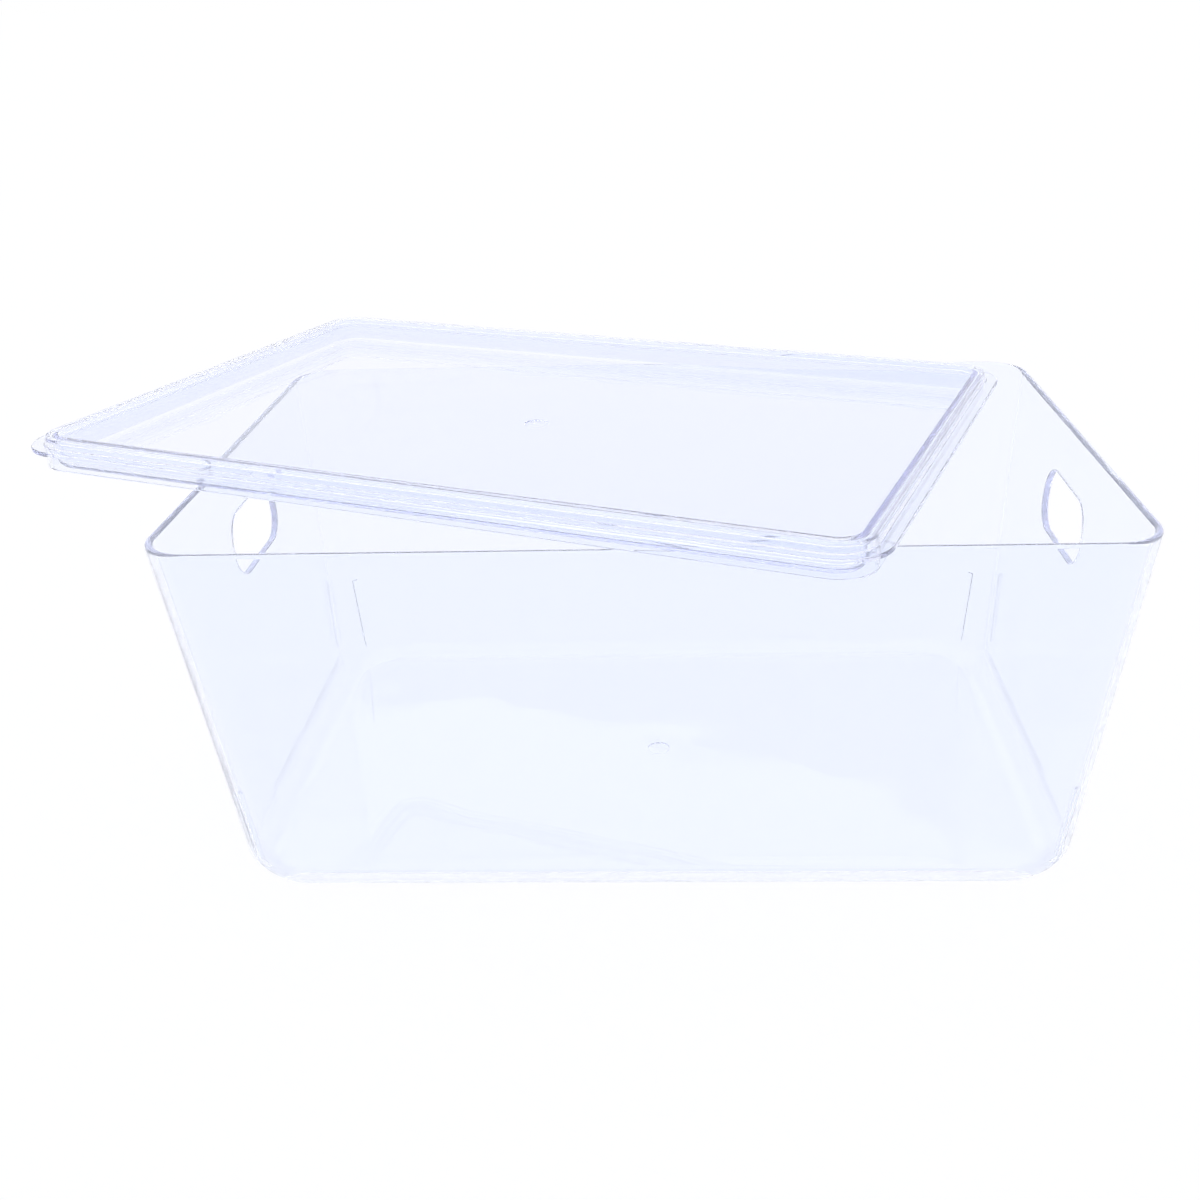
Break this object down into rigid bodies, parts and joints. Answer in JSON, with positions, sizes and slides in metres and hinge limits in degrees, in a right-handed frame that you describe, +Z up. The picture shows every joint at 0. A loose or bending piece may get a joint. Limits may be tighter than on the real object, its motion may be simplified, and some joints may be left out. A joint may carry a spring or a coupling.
{
  "type": "clear storage box with lid",
  "caption": "Clear rectangular storage box with drafted walls, a hand hole in each end wall and a loose flanged lid with a sunk panel, laid askew across the rim.",
  "frame": {"origin": "middle of the bin's flat underside, on the surface that it stands on", "axes": "+Z up; X along the bin's length, from the end wall under the lid's overhang towards the open end; Y across its width, from the front wall to the back wall"},
  "size_m": [0.4367, 0.3406, 0.1672],
  "materials": {
    "bin_plastic": "clear, polished moulded plastic",
    "lid_plastic": "clear, polished moulded plastic"
  },
  "bodies": {
    "bin": {"bin": "bin_plastic"},
    "lid": {"lid": "lid_plastic"}
  },
  "joints": [
    {"name": "lid_lift", "type": "slide", "parent": "bin", "child": "lid", "axis": [0, 0, 1], "range_m": [0, 0.18]}
  ]
}
